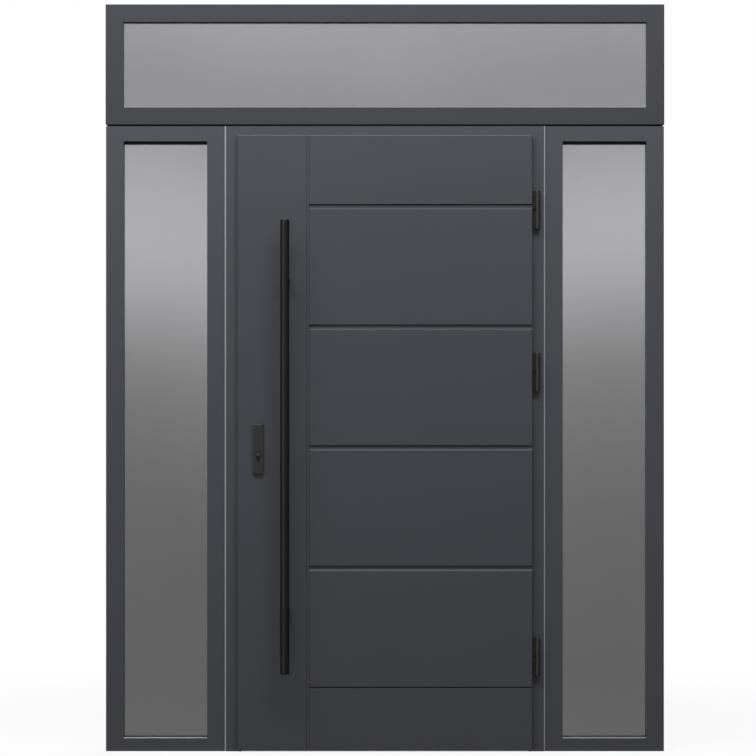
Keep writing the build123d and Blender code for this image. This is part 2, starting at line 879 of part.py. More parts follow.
os.makedirs("parts", exist_ok=True)
build_jamb(-1, "lock_jamb")
build_jamb(1, "hinge_jamb")
build_head()
build_threshold()
build_strike_plates()
build_door_seals()
light_faces = {
    "stile": light_stile_face,
    "top": light_top_face,
    "bottom": light_bottom_face,
    "strip": sill_strip_height,
    "gasket_top": light_gasket_top,
    "gasket_bottom": light_gasket_bottom,
}
transom_faces = {
    "stile": transom_stile_face,
    "top": transom_top_face,
    "bottom": transom_bottom_face,
    "strip": 0,
    "gasket_top": transom_gasket_top,
    "gasket_bottom": transom_gasket_bottom,
}
build_light("left_light", -light_outer, -light_inner, 0, door_frame_height, light_front, light_faces)
build_light("right_light", light_inner, light_outer, 0, door_frame_height, light_front, light_faces)
build_light(
    "transom", -transom_half, transom_half, transom_bottom, transom_top, frame_front, transom_faces
)
build_joints_between_units()
build_leaf_panels()
for hinge_name, hinge_z in hinge_heights.items():
    build_hinge(hinge_name, hinge_z)
build_pull_bar()
build_lock()
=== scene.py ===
"""Studio scene of an anthracite entrance door set with two sidelights and a transom.

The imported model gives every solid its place. This script gives those solids their finishes,
models the small pieces that stay out of the solids, and sets up the studio they are seen in.
"""

import logging
import math
from dataclasses import dataclass
from enum import Enum
from typing import Callable

import bmesh
import bpy
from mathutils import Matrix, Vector


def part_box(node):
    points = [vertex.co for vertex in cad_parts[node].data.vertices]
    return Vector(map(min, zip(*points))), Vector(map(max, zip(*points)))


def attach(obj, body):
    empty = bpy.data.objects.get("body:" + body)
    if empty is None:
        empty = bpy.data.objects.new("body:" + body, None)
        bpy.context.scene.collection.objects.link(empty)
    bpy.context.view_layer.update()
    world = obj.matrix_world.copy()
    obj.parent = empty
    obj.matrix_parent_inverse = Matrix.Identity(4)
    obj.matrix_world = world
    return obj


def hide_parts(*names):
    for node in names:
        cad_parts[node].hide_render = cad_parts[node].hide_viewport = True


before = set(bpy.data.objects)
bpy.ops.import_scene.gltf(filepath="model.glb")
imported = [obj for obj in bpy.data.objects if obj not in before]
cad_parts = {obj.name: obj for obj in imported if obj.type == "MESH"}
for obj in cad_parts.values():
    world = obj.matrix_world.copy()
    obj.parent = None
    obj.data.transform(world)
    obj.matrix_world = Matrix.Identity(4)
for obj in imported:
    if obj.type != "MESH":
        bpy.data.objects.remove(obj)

LOG = logging.getLogger("door_set")
MM = 0.001
# Two places nearer than this are the same place.
NEAR = 0.01 * MM
# A face looks along an axis where its normal's share of that axis is above this.
SQUARE = 0.99
# The four inputs of a range node, in the order in which a span gives them.
RANGE = ("From Min", "From Max", "To Min", "To Max")

Colour = tuple[float, float, float, float]
Place = tuple[float, float, float]
Span = tuple[float, float, float, float]

WHITE: Colour = (1.0, 1.0, 1.0, 1.0)


class Facing(Enum):
    """Way a fastener looks out of the face it sits in, as the turn that brings its top there."""

    UP = (0.0, 0.0, 0.0)
    DOWN = (math.pi, 0.0, 0.0)
    INSIDE = (-math.pi / 2, 0.0, 0.0)
    LEFT = (0.0, -math.pi / 2, 0.0)
    RIGHT = (0.0, math.pi / 2, 0.0)


def linear(code: str) -> Colour:
    """Turn an sRGB hex colour into linear light.

    Args:
        code: colour such as "#46474C".

    Returns:
        Red, green, blue and full alpha in linear light.
    """
    shares = [int(code[start : start + 2], 16) / 255 for start in (1, 3, 5)]
    light = [s / 12.92 if s <= 0.04045 else ((s + 0.055) / 1.055) ** 2.4 for s in shares]
    return (light[0], light[1], light[2], 1.0)


def per_mm(size: float) -> float:
    """Return the texture scale whose pattern repeats about every `size` millimetres."""
    return 1 / (size * MM)


def add_node(
    tree: bpy.types.NodeTree, kind: str, inputs: dict | None = None, **settings: object
) -> bpy.types.Node:
    """Add one node with its settings, and set or link its inputs.

    Args:
        tree: node tree that takes the node.
        kind: Blender's name for the type of node.
        inputs: a value or another node's output for each input, by name or number.
        settings: the node's own properties.

    Returns:
        The new node.
    """
    node = tree.nodes.new(kind)
    for name, value in settings.items():
        setattr(node, name, value)
    for name, value in (inputs or {}).items():
        if isinstance(value, bpy.types.NodeSocket):
            tree.links.new(value, node.inputs[name])
        else:
            node.inputs[name].default_value = value
    return node


class Finish:
    """A finish makes one material from its own fields, and every piece that wears it shares that."""

    label: str

    def material(self) -> bpy.types.Material:
        """Return this finish's material, made the first time it is asked for.

        Returns:
            The material under the finish's label.
        """
        made = bpy.data.materials.get(self.label)
        if made is None:
            made = bpy.data.materials.new(self.label)
            made.use_nodes = True
            tree = made.node_tree
            tree.nodes.clear()
            where = add_node(tree, "ShaderNodeTexCoord").outputs["Object"]
            shader = self.shade(tree, where)
            add_node(tree, "ShaderNodeOutputMaterial", {"Surface": shader.outputs[0]})
        return made

    def shade(self, tree: bpy.types.NodeTree, where: bpy.types.NodeSocket) -> bpy.types.Node:
        """Build the finish's shader; each finish has its own."""
        raise NotImplementedError

    def wear(self, *nodes: str) -> None:
        """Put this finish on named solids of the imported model."""
        for name in nodes:
            dress(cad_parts[name], self)


def dress(piece: bpy.types.Object, finish: Finish) -> None:
    """Give all of a piece one finish.

    Args:
        piece: mesh object to dress.
        finish: finish it takes.
    """
    material = finish.material()
    if not piece.material_slots:
        piece.data.materials.append(material)
    for slot in piece.material_slots:
        slot.material = material
    LOG.info("%s wears %s", piece.name, finish.label)


class Element(Enum):
    """Kind of mesh element that a selection is made of, as edit mode names it."""

    FACE = "FACE"
    EDGE = "EDGE"
    CORNER = "VERT"


def start_piece(name: str, add: Callable[..., set], **settings: object) -> None:
    """Add a primitive at its size and place, and open it in edit mode.

    Args:
        name: name of the new piece.
        add: operator that adds the primitive.
        settings: the operator's own settings.
    """
    bpy.ops.object.select_all(action="DESELECT")
    add(**settings)
    bpy.context.active_object.name = name
    bpy.ops.object.transform_apply(location=True, rotation=True, scale=True)
    bpy.ops.object.mode_set(mode="EDIT")


def pick(kind: Element, test: Callable[..., bool]) -> None:
    """Select only those elements of the edited piece that pass a test.

    Args:
        kind: faces, edges or corners.
        test: says of one element whether it is selected.
    """
    bpy.ops.mesh.select_mode(type=kind.value)
    bpy.ops.mesh.select_all(action="DESELECT")
    shape = bmesh.from_edit_mesh(bpy.context.edit_object.data)
    groups = {Element.FACE: shape.faces, Element.EDGE: shape.edges, Element.CORNER: shape.verts}
    for element in groups[kind]:
        if test(element):
            element.select_set(True)
    bmesh.update_edit_mesh(bpy.context.edit_object.data)


def close_piece(smooth_to: float = 35.0) -> bpy.types.Object:
    """Merge doubles, turn faces outwards and leave edit mode.

    Args:
        smooth_to: angle in degrees below which an edge is shaded smooth.

    Returns:
        The finished mesh object.
    """
    bpy.ops.mesh.select_all(action="SELECT")
    bpy.ops.mesh.remove_doubles(threshold=NEAR)
    bpy.ops.mesh.normals_make_consistent(inside=False)
    bpy.ops.object.mode_set(mode="OBJECT")
    bpy.ops.object.shade_smooth_by_angle(angle=math.radians(smooth_to))
    return bpy.context.active_object


def hand_over(piece: bpy.types.Object, body: str, finish: Finish) -> None:
    """Dress a new piece and fix it to the body that carries it.

    Args:
        piece: finished mesh object.
        body: body that it moves with.
        finish: finish it takes.
    """
    dress(piece, finish)
    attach(piece, body)
    LOG.info("%s rides on %s", piece.name, body)


def make_ring(name: str, low: Place, high: Place, bar: float) -> None:
    """Open a rectangular ring in edit mode, its hole running through from front to back.

    Args:
        name: name of the new piece.
        low: lowest corner of the ring.
        high: highest corner of the ring.
        bar: width of the ring's four bars.
    """
    start_piece(
        name,
        bpy.ops.mesh.primitive_cube_add,
        size=1.0,
        location=tuple((near + far) / 2 for near, far in zip(low, high)),
        scale=tuple(far - near for near, far in zip(low, high)),
    )
    pick(Element.FACE, lambda face: abs(face.normal.y) > SQUARE)
    bpy.ops.mesh.inset(thickness=bar)
    bpy.ops.mesh.bridge_edge_loops()


class Recess(Enum):
    """Shape of a fastener's drive, as the reach of its rim halfway to and between its points."""

    STAR = (0.88, 0.72)
    HEX = (0.8966, 0.866)


@dataclass(frozen=True)
class Fastener:
    """A turned fastener head with a driven recess, modelled once and copied to its places."""

    head: float
    rise: float
    recess: float
    depth: float
    drive: Recess
    sunk: float = 0.3
    rim: float = 0.4
    rim_steps: int = 3
    points: int = 6

    def model(self, name: str) -> bpy.types.Object:
        """Model the head at the origin, its top facing up.

        Args:
            name: name of the first head.

        Returns:
            The head's mesh object.
        """
        top = self.rise * MM
        start_piece(
            name,
            bpy.ops.mesh.primitive_cylinder_add,
            vertices=4 * self.points,
            radius=self.head / 2 * MM,
            depth=(self.rise + self.sunk) * MM,
            location=(0.0, 0.0, (self.rise - self.sunk) / 2 * MM),
        )
        pick(Element.FACE, lambda face: face.normal.z > SQUARE)
        bpy.ops.mesh.inset(thickness=(self.head - self.recess) / 2 * MM)
        for reach, steps in zip(self.drive.value, ((1, 3), (2,))):
            pick(Element.CORNER, lambda corner: self.on_drive(corner, steps))
            bpy.ops.transform.resize(value=(reach, reach, 1.0), center_override=(0.0, 0.0, top))
        pick(Element.FACE, self.in_drive)
        bpy.ops.mesh.extrude_region_move(TRANSFORM_OT_translate={"value": (0.0, 0.0, -self.depth * MM)})
        pick(Element.EDGE, lambda edge: all(self.on_rim(corner) for corner in edge.verts))
        bpy.ops.mesh.bevel(offset=self.rim * MM, segments=self.rim_steps)
        return close_piece()

    def on_drive(self, corner: bmesh.types.BMVert, steps: tuple[int, ...]) -> bool:
        """Tell whether a corner of the recess lies on one of the named steps between two points.

        Args:
            corner: corner of the head.
            steps: quarters of the way from one point of the recess to the next.

        Returns:
            True if the corner is to be drawn in.
        """
        turn = math.degrees(math.atan2(corner.co.y, corner.co.x))
        step = round(turn * self.points / 90.0) % 4
        inner = corner.co.xy.length < self.recess / 2 * MM + NEAR
        return inner and corner.co.z > self.rise * MM - NEAR and step in steps

    def in_drive(self, face: bmesh.types.BMFace) -> bool:
        """Tell whether a face is the one in the middle of the head's top."""
        return face.normal.z > SQUARE and face.calc_center_median().xy.length < NEAR

    def on_rim(self, corner: bmesh.types.BMVert) -> bool:
        """Tell whether a corner lies on the head's upper outer rim."""
        return corner.co.xy.length > self.head / 2 * MM - NEAR and corner.co.z > self.rise * MM - NEAR

    def fit(
        self, name: str, places: list[Place], facing: Facing, body: str, slot: str, finish: Finish
    ) -> None:
        """Copy the head to each place, turned the way its face looks.

        Args:
            name: name that the copies share before their number.
            places: where the heads sit, in millimetres.
            facing: way the heads look.
            body: body that they move with.
            slot: material slot of the record; not used.
            finish: finish they take.
        """
        first = self.model(name)
        for number, place in enumerate(places, start=1):
            copy = first.copy()
            copy.data = first.data.copy()
            copy.name = f"{name}_{number}"
            bpy.context.scene.collection.objects.link(copy)
            copy.location = [along * MM for along in place]
            copy.rotation_euler = facing.value
            bpy.ops.object.select_all(action="DESELECT")
            copy.select_set(True)
            bpy.context.view_layer.objects.active = copy
            bpy.ops.object.transform_apply(location=True, rotation=True, scale=True)
            hand_over(copy, body, finish)
        bpy.data.objects.remove(first)


PLATE_SCREW = Fastener(head=7.0, rise=0.9, recess=3.4, depth=0.8, drive=Recess.STAR)
SOCKET_CAP = Fastener(head=13.0, rise=0.9, recess=5.8, depth=0.8, drive=Recess.HEX)
GRUB_SCREW = Fastener(head=5.0, rise=0.2, recess=2.9, depth=0.6, drive=Recess.HEX, sunk=0.7, rim=0.15)


@dataclass(frozen=True)
class SatinPaint(Finish):
    """Satin paint sprayed on timber: an even grey film with a soft shine and a fine peel."""

    label: str = "satin_paint_on_timber"
    light_tone: str = "#4A4B52"
    deep_tone: str = "#46474E"
    cloud_mm: float = 260.0
    # The real peel is about 1 mm; it is drawn coarser so that the render can show it.
    peel_mm: float = 4.0
    peel_depth: float = 0.0002
    peel_strength: float = 0.3
    shine: tuple[float, float] = (0.40, 0.50)
    ior: float = 1.5

    def shade(self, tree: bpy.types.NodeTree, where: bpy.types.NodeSocket) -> bpy.types.Node:
        """Mix two near tones in slow clouds, and let the peel roughen the shine.

        Args:
            tree: node tree of the material.
            where: Object coordinates.

        Returns:
            The shader node.
        """
        cloud = add_node(
            tree, "ShaderNodeTexNoise", {"Vector": where, "Scale": per_mm(self.cloud_mm), "Detail": 3.0}
        )
        tone = add_node(
            tree,
            "ShaderNodeMix",
            {0: cloud.outputs[0], 6: linear(self.deep_tone), 7: linear(self.light_tone)},
            data_type="RGBA",
        )
        peel = add_node(
            tree, "ShaderNodeTexNoise", {"Vector": where, "Scale": per_mm(self.peel_mm), "Detail": 2.0}
        )
        rough = add_node(
            tree,
            "ShaderNodeMapRange",
            {"Value": peel.outputs[0], "To Min": self.shine[0], "To Max": self.shine[1]},
        )
        skin = add_node(
            tree,
            "ShaderNodeBump",
            {"Height": peel.outputs[0], "Strength": self.peel_strength, "Distance": self.peel_depth},
        )
        return add_node(
            tree,
            "ShaderNodeBsdfPrincipled",
            {
                "Base Color": tone.outputs[2],
                "Roughness": rough.outputs[0],
                "Normal": skin.outputs[0],
                "IOR": self.ior,
            },
        )


@dataclass(frozen=True)
class CoatedGlass(Finish):
    """Grey sun-control glass: a thin metal coat mirrors the studio and hides what is behind."""

    label: str = "coated_grey_glass"
    tint: str = "#DBDBDB"
    coat: float = 0.46
    roughness: float = 0.06
    # Toughened glass keeps a faint roller wave, a few hundred millimetres long.
    wave_mm: float = 280.0
    wave_depth: float = 0.00003
    wave_strength: float = 0.5
    ior: float = 1.52

    def shade(self, tree: bpy.types.NodeTree, where: bpy.types.NodeSocket) -> bpy.types.Node:
        """Half-mirror the pane and let the roller wave bend its reflections.

        Args:
            tree: node tree of the material.
            where: Object coordinates.

        Returns:
            The shader node.
        """
        wave = add_node(
            tree, "ShaderNodeTexNoise", {"Vector": where, "Scale": per_mm(self.wave_mm), "Detail": 0.0}
        )
        bend = add_node(
            tree,
            "ShaderNodeBump",
            {"Height": wave.outputs[0], "Strength": self.wave_strength, "Distance": self.wave_depth},
        )
        return add_node(
            tree,
            "ShaderNodeBsdfPrincipled",
            {
                "Base Color": linear(self.tint),
                "Metallic": self.coat,
                "Roughness": self.roughness,
                "Transmission Weight": 1.0,
                "IOR": self.ior,
                "Normal": bend.outputs[0],
            },
        )


@dataclass(frozen=True)
class GrainedSurface(Finish):
    """A plain material with a fine grain in its tone, shine and surface."""

    label: str = "grained"
    light_tone: str = "#808080"
    deep_tone: str = "#707070"
    grain_mm: Place = (2.0, 2.0, 2.0)
    grain_depth: float = 0.00005
    grain_strength: float = 0.3
    metallic: float = 0.0
    shine: tuple[float, float] = (0.4, 0.5)
    ior: float = 1.5

    def shade(self, tree: bpy.types.NodeTree, where: bpy.types.NodeSocket) -> bpy.types.Node:
        """Stretch one noise along the way the surface was worked.

        Args:
            tree: node tree of the material.
            where: Object coordinates.

        Returns:
            The shader node.
        """
        stretch = add_node(
            tree,
            "ShaderNodeMapping",
            {"Vector": where, "Scale": tuple(per_mm(size) for size in self.grain_mm)},
        )
        grain = add_node(
            tree, "ShaderNodeTexNoise", {"Vector": stretch.outputs[0], "Scale": 1.0, "Detail": 3.0}
        )
        tone = add_node(
            tree,
            "ShaderNodeMix",
            {0: grain.outputs[0], 6: linear(self.deep_tone), 7: linear(self.light_tone)},
            data_type="RGBA",
        )
        rough = add_node(
            tree,
            "ShaderNodeMapRange",
            {"Value": grain.outputs[0], "To Min": self.shine[0], "To Max": self.shine[1]},
        )
        skin = add_node(
            tree,
            "ShaderNodeBump",
            {"Height": grain.outputs[0], "Strength": self.grain_strength, "Distance": self.grain_depth},
        )
        return add_node(
            tree,
            "ShaderNodeBsdfPrincipled",
            {
                "Base Color": tone.outputs[2],
                "Metallic": self.metallic,
                "Roughness": rough.outputs[0],
                "Normal": skin.outputs[0],
                "IOR": self.ior,
            },
        )


@dataclass(frozen=True)
class BlackRubber(GrainedSurface):
    """Extruded EPDM rubber: nearly black and matt, with faint drawn lines."""

    label: str = "extruded_black_rubber"
    light_tone: str = "#0A0A0B"
    deep_tone: str = "#060607"
    grain_mm: Place = (3.0, 3.0, 3.0)
    shine: tuple[float, float] = (0.66, 0.80)
    ior: float = 1.4


@dataclass(frozen=True)
class PaleStrip(GrainedSurface):
    """Silver-grey lacquered aluminium: the pale lines in the joints and under the glass."""

    label: str = "silver_lacquered_aluminium"
    light_tone: str = "#B8B9BC"
    deep_tone: str = "#ADAEB1"
    grain_mm: Place = (4.0, 4.0, 60.0)
    metallic: float = 0.35
    shine: tuple[float, float] = (0.42, 0.52)


@dataclass(frozen=True)
class MillAluminium(GrainedSurface):
    """Anodised aluminium, brushed along the doorway: a dull grey metal with long streaks."""

    label: str = "brushed_anodised_aluminium"
    light_tone: str = "#9B9C9E"
    deep_tone: str = "#868789"
    grain_mm: Place = (140.0, 2.5, 2.5)
    metallic: float = 1.0
    shine: tuple[float, float] = (0.32, 0.46)


@dataclass(frozen=True)
class BrushedSteel(GrainedSurface):
    """Stainless steel brushed upright: a bright soft metal on the lock's edge and its bolts."""

    label: str = "brushed_stainless_steel"
    light_tone: str = "#B4B4B2"
    deep_tone: str = "#9A9A98"
    grain_mm: Place = (1.6, 1.6, 90.0)
    metallic: float = 1.0
    shine: tuple[float, float] = (0.26, 0.40)


@dataclass(frozen=True)
class BlackCoat(GrainedSurface):
    """Black powder coat on steel: a satin black with a fine baked grain."""

    label: str = "satin_black_powder_coat"
    light_tone: str = "#31312F"
    deep_tone: str = "#1F1F1E"
    # The real grain is about half a millimetre; it is drawn coarser so that it can show.
    grain_mm: Place = (1.6, 1.6, 1.6)
    grain_depth: float = 0.0003
    grain_strength: float = 0.8
    shine: tuple[float, float] = (0.36, 0.46)


@dataclass(frozen=True)
class BarLacquer(GrainedSurface):
    """Black lacquer on the pull bar's tube: deeper and smoother than the powder coat."""

    label: str = "smooth_black_lacquer"
    light_tone: str = "#0B0B0B"
    deep_tone: str = "#070707"
    grain_mm: Place = (4.0, 4.0, 40.0)
    grain_depth: float = 0.00002
    shine: tuple[float, float] = (0.28, 0.34)
    ior: float = 1.42


@dataclass(frozen=True)
class HingeCoat(GrainedSurface):
    """Brown-black coat on the hinges: a warm dark satin, thin enough to shine on the barrels."""

    label: str = "brown_black_hinge_coat"
    light_tone: str = "#2F2C2C"
    deep_tone: str = "#1E1C1C"
    grain_mm: Place = (1.6, 1.6, 1.6)
    grain_depth: float = 0.0002
    grain_strength: float = 0.6
    shine: tuple[float, float] = (0.36, 0.46)
    # Painted shade: the near-black, matt wings and dowels stand in for the shadow in the gap beside the
    # barrels.
    wing_painted_shade: str = "#050505"
    wing_roughness: float = 0.8
    # Where the wings end beside the barrels, across the set, and how far the change runs.
    wing_edge: float = 497.0
    wing_blend: float = 1.5

    def shade(self, tree: bpy.types.NodeTree, where: bpy.types.NodeSocket) -> bpy.types.Node:
        """Paint the wings and dowels beside the barrel near-black and matt, a painted shade that stands
        in for the shadow in the gap between leaf and barrel.

        Args:
            tree: node tree of the material.
            where: Object coordinates.

        Returns:
            The shader node.
        """
        shader = super().shade(tree, where)
        across = add_node(tree, "ShaderNodeSeparateXYZ", {0: where}).outputs["X"]
        barrel = add_node(
            tree,
            "ShaderNodeMapRange",
            {
                "Value": across,
                "From Min": self.wing_edge * MM,
                "From Max": (self.wing_edge + self.wing_blend) * MM,
            },
        ).outputs[0]
        coat = shader.inputs["Base Color"].links[0].from_socket
        tone = add_node(
            tree, "ShaderNodeMix", {0: barrel, 6: linear(self.wing_painted_shade), 7: coat}, data_type="RGBA"
        )
        satin = shader.inputs["Roughness"].links[0].from_socket
        rough = add_node(tree, "ShaderNodeMix", {0: barrel, 2: self.wing_roughness, 3: satin})
        tree.links.new(tone.outputs[2], shader.inputs["Base Color"])
        tree.links.new(rough.outputs[0], shader.inputs["Roughness"])
        return shader


@dataclass(frozen=True)
class DarkCylinder(GrainedSurface):
    """Blackened brass of the lock cylinder: a dark metal, turned and lightly polished."""

    label: str = "blackened_cylinder_metal"
    light_tone: str = "#121211"
    deep_tone: str = "#0C0C0B"
    grain_mm: Place = (1.2, 20.0, 1.2)
    metallic: float = 0.3
    shine: tuple[float, float] = (0.22, 0.32)


@dataclass(frozen=True)
class PlugBrass(GrainedSurface):
    """Nickel-plated brass of the key plug: a turned grey metal that keys have worn bright."""

    label: str = "worn_nickel_plug"
    light_tone: str = "#6A6966"
    deep_tone: str = "#4E4D4B"
    grain_mm: Place = (1.0, 20.0, 1.0)
    metallic: float = 1.0
    shine: tuple[float, float] = (0.24, 0.36)


@dataclass(frozen=True)
class PaleFloor(Finish):
    """Pale studio floor: it takes the object's shadow and runs out into the white backdrop."""

    label: str = "pale_studio_floor"
    tone: str = "#F4F4F3"
    roughness: float = 0.9
    # Between the first two distances from the middle, in metres, white grows from one share to the other.
    whiteness: Span = (1.2, 3.2, 0.86, 1.0)

    def shade(self, tree: bpy.types.NodeTree, where: bpy.types.NodeSocket) -> bpy.types.Node:
        """Show the lit floor near the object, and to the camera more and more plain white.

        Args:
            tree: node tree of the material.
            where: Object coordinates.

        Returns:
            The shader node.
        """
        ground = add_node(
            tree,
            "ShaderNodeBsdfPrincipled",
            {"Base Color": linear(self.tone), "Roughness": self.roughness},
        )
        white = add_node(tree, "ShaderNodeEmission", {"Color": WHITE, "Strength": 1.0})
        reach = add_node(tree, "ShaderNodeVectorMath", {0: where}, operation="LENGTH")
        fade = add_node(
            tree,
            "ShaderNodeMapRange",
            {"Value": reach.outputs["Value"], **dict(zip(RANGE, self.whiteness))},
            interpolation_type="SMOOTHSTEP",
        )
        ray = add_node(tree, "ShaderNodeLightPath")
        share = add_node(
            tree,
            "ShaderNodeMath",
            {0: fade.outputs[0], 1: ray.outputs["Is Camera Ray"]},
            operation="MULTIPLY",
        )
        return add_node(
            tree,
            "ShaderNodeMixShader",
            {0: share.outputs[0], 1: ground.outputs[0], 2: white.outputs[0]},
        )


PAINT = SatinPaint()
FRAME_PAINT = SatinPaint("satin_paint_one_shade_lighter", "#4E4F56", "#4A4B52")
# Painted shade: a darker copy of the frame paint for the transom, standing in for the transom getting
# less light than the frame below it.
TRANSOM_PAINTED_SHADE = SatinPaint("satin_paint_with_painted_shade", "#3C3D43", "#38393F")
GLASS = CoatedGlass()
RUBBER = BlackRubber()
# A lighter copy of the black rubber, for the seal under the transom.
JOINT_RUBBER = BlackRubber("black_rubber_lighter_tone", "#2C2C2E", "#242426")
PALE = PaleStrip()
# Painted shade: a darker copy of the strip aluminium for the right joint strip, standing in for the
# weaker light from the right.
RIGHT_STRIP_PAINTED_SHADE = PaleStrip("silver_lacquered_aluminium_painted_shade", "#A6A7AA", "#9C9DA0")
# Painted shade: a darker copy of the strip aluminium for the sill strips, toning down the light that
# their upward slope catches.
SILL_STRIP_PAINTED_SHADE = PaleStrip("silver_lacquered_aluminium_sill_painted_shade", "#85868A", "#797A7E")
THRESHOLD = MillAluminium()
STEEL = BrushedSteel()
BLACK = BlackCoat()
BAR_BLACK = BarLacquer()
HINGE_BLACK = HingeCoat()
CYLINDER = DarkCylinder()
PLUG = PlugBrass()
FLOOR = PaleFloor()


@dataclass
class DoorFrame:
    """The fixed frame round the leaf: jambs, head, threshold, strike plates and seals."""

    timber: tuple[str, ...] = ("lock_jamb", "hinge_jamb", "frame_head")
    seal_width: float = 5.0
    seal_round: float = 2.1
    seal_round_steps: int = 4
    edge_round: float = 3.0
    # Bevel profile that is hollow by a quarter circle, to lie against a rounded edge.
    hollow: float = 0.086
    hollow_steps: int = 6
    stop_step: float = 16.0
    strike_face: float = -476.5
    strike_middle: float = -24.0
    strike_screw_heights: tuple[float, ...] = (232, 292, 962.6, 1018.6, 1038.6, 1086.6, 1755, 1815)
    screw: Fastener = PLATE_SCREW

    def build(self) -> None:
        """Dress the frame's solids, and add its seals, the filler in its joints and its screws."""
        FRAME_PAINT.wear(*self.timber)
        THRESHOLD.wear("threshold")
        STEEL.wear("strike_plates")
        self.draw_seal("outer_seal")
        self.draw_seal("inner_seal")
        self.fill_joints()
        places = [(self.strike_face, self.strike_middle, height) for height in self.strike_screw_heights]
        self.screw.fit("strike_screw", places, Facing.RIGHT, "frame", "lock_steel", STEEL)

    def draw_seal(self, node: str) -> None:
        """Shape one weather seal: a rubber profile up, across and down, with a round front.

        Args:
            node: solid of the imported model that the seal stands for.
        """
        low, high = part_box(node)
        foot = 2 * self.seal_width * MM
        make_ring(f"{node}_profile", (low[0], low[1], low[2] - foot), tuple(high), self.seal_width * MM)
        pick(Element.EDGE, lambda edge: all(corner.co.y < low[1] + NEAR for corner in edge.verts))
        bpy.ops.mesh.bevel(offset=self.seal_round * MM, segments=self.seal_round_steps)
        bpy.ops.mesh.select_all(action="SELECT")
        bpy.ops.mesh.bisect(
            plane_co=(0.0, 0.0, low[2]), plane_no=(0.0, 0.0, 1.0), use_fill=True, clear_inner=True
        )
        seal = close_piece()
        hand_over(seal, "frame", RUBBER)
        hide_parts(node)

    def fill_joints(self) -> None:
        """Fill the four joints where the head meets the jambs' rounded edges, front and back."""
        low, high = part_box("frame_head")
        edge = self.edge_round * MM
        step = self.stop_step * MM
        opening = -self.strike_face * MM
        for side, jamb in ((-1.0, "lock_jamb"), (1.0, "hinge_jamb")):
            front = (side * opening, low[1], low[2] + step)
            back = (side * (opening - step), high[1], low[2] + edge)
            self.fill_joint(f"{jamb}_front_filler", front, (side * edge, edge, high[2] - front[2]))
            self.fill_joint(f"{jamb}_back_filler", back, (side * edge, -edge, high[2] - back[2]))

    def fill_joint(self, name: str, start: Place, reach: Place) -> None:
        """Fill one joint flush with the face, hollow where it lies against the jamb's rounded edge.

        Args:
            name: name of the filler.
            start: corner of the head at the foot of the joint.
            reach: how far the filler runs from there across, into the depth and up.
        """
        corner = Vector((start[0] + reach[0], start[1] + reach[1]))
        start_piece(
            name,
            bpy.ops.mesh.primitive_cube_add,
            size=1.0,
            location=tuple(foot + run / 2 for foot, run in zip(start, reach)),
            scale=tuple(abs(run) for run in reach),
        )
        pick(Element.EDGE, lambda upright: self.stands_at(upright, corner))
        bpy.ops.mesh.bevel(
            offset=abs(reach[0]), segments=self.hollow_steps, profile=self.hollow, clamp_overlap=False
        )
        hand_over(close_piece(), "frame", FRAME_PAINT)

    def stands_at(self, edge: bmesh.types.BMEdge, corner: Vector) -> bool:
        """Tell whether an upright edge stands at a corner given in plan."""
        return all((end.co.xy - corner).length < NEAR for end in edge.verts)


@dataclass
class FixedLight:
    """One glazed fixed light: two stiles, two rails, a double pane, its gasket and its beads."""

    name: str
    paint: SatinPaint = FRAME_PAINT
    has_sill_strip: bool = True
    pane: float = 6.0
    spacer_edge: float = 5.0
    spacer_bar: float = 9.0
    spacer_roll: float = 2.6
    spacer_hollow: float = 0.8

    def build(self) -> None:
        """Dress the light's solids, and add the spacer between its panes."""
        self.paint.wear(f"{self.name}_stiles", f"{self.name}_rails", f"{self.name}_beads")
        GLASS.wear(f"{self.name}_glass")
        # The gasket is real rubber, but its wide black band under the top rail is painted shadow,
        # standing in for the rail's shadow on the glass.
        RUBBER.wear(f"{self.name}_gasket")
        if self.has_sill_strip:
            SILL_STRIP_PAINTED_SHADE.wear(f"{self.name}_sill_strip")
        self.roll_spacer()

    def roll_spacer(self) -> None:
        """Shape the aluminium spacer bar that holds the two panes apart, rolled hollow on its inside."""
        low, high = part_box(f"{self.name}_glass")
        edge = self.spacer_edge * MM
        gap = self.pane * MM
        near = (low[0] + edge, low[1] + gap, low[2] + edge)
        far = (high[0] - edge, high[1] - gap, high[2] - edge)
        middle = Vector(((low[0] + high[0]) / 2, 0.0, (low[2] + high[2]) / 2))
        make_ring(f"{self.name}_spacer", near, far, self.spacer_bar * MM)
        pick(Element.FACE, lambda face: self.faces_pane(face, middle))
        bpy.ops.mesh.inset(
            thickness=self.spacer_roll * MM, depth=-self.spacer_hollow * MM, use_individual=True
        )
        spacer = close_piece()
        hand_over(spacer, "frame", THRESHOLD)

    def faces_pane(self, face: bmesh.types.BMFace, middle: Vector) -> bool:
        """Tell whether a face of the spacer looks into the space between the panes."""
        inward = (middle - face.calc_center_median()).normalized()
        return abs(face.normal.y) < SQUARE and face.normal.dot(inward) > 0.0


